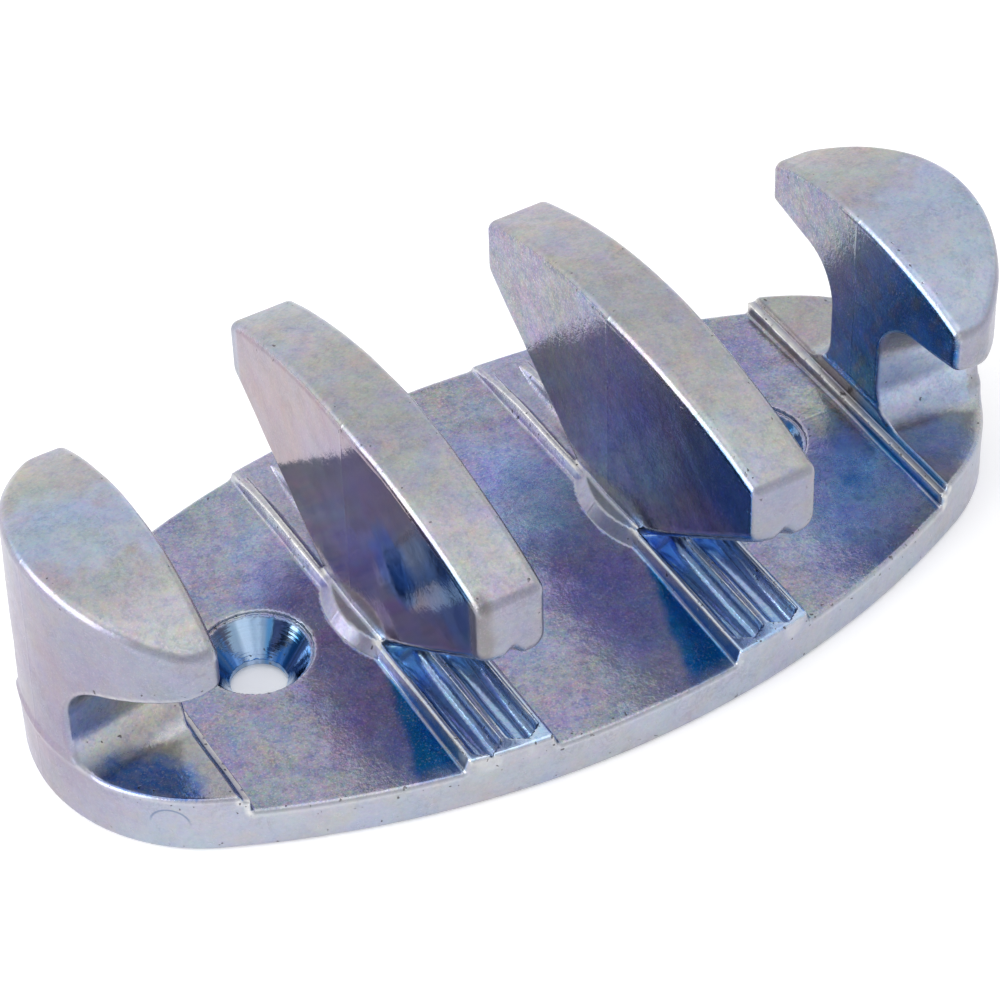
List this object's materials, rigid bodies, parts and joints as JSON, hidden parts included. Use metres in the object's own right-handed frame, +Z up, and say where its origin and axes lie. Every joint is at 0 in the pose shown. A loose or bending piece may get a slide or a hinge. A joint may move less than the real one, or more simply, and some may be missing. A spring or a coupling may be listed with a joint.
{
  "type": "zig-zag rope cleat",
  "caption": "Boat-shaped rope cleat with countersunk screw holes, T-shaped horns across its middle and hooded horns at its ends.",
  "frame": {"origin": "centre of the flat underside, midway between the two screw holes", "axes": "+X along the cleat through both screw holes, +Y across the cleat along the horns' arms, +Z up out of the deck it is screwed to"},
  "size_m": [0.114, 0.0568, 0.0324],
  "materials": {
    "zinc_plate": "bright zinc plating with a mottled blue and violet passivate, satin"
  },
  "bodies": {
    "root": {"base_plate": "zinc_plate", "end_horn_left": "zinc_plate", "middle_horn_left": "zinc_plate", "middle_horn_right": "zinc_plate", "end_horn_right": "zinc_plate"}
  },
  "joints": []
}
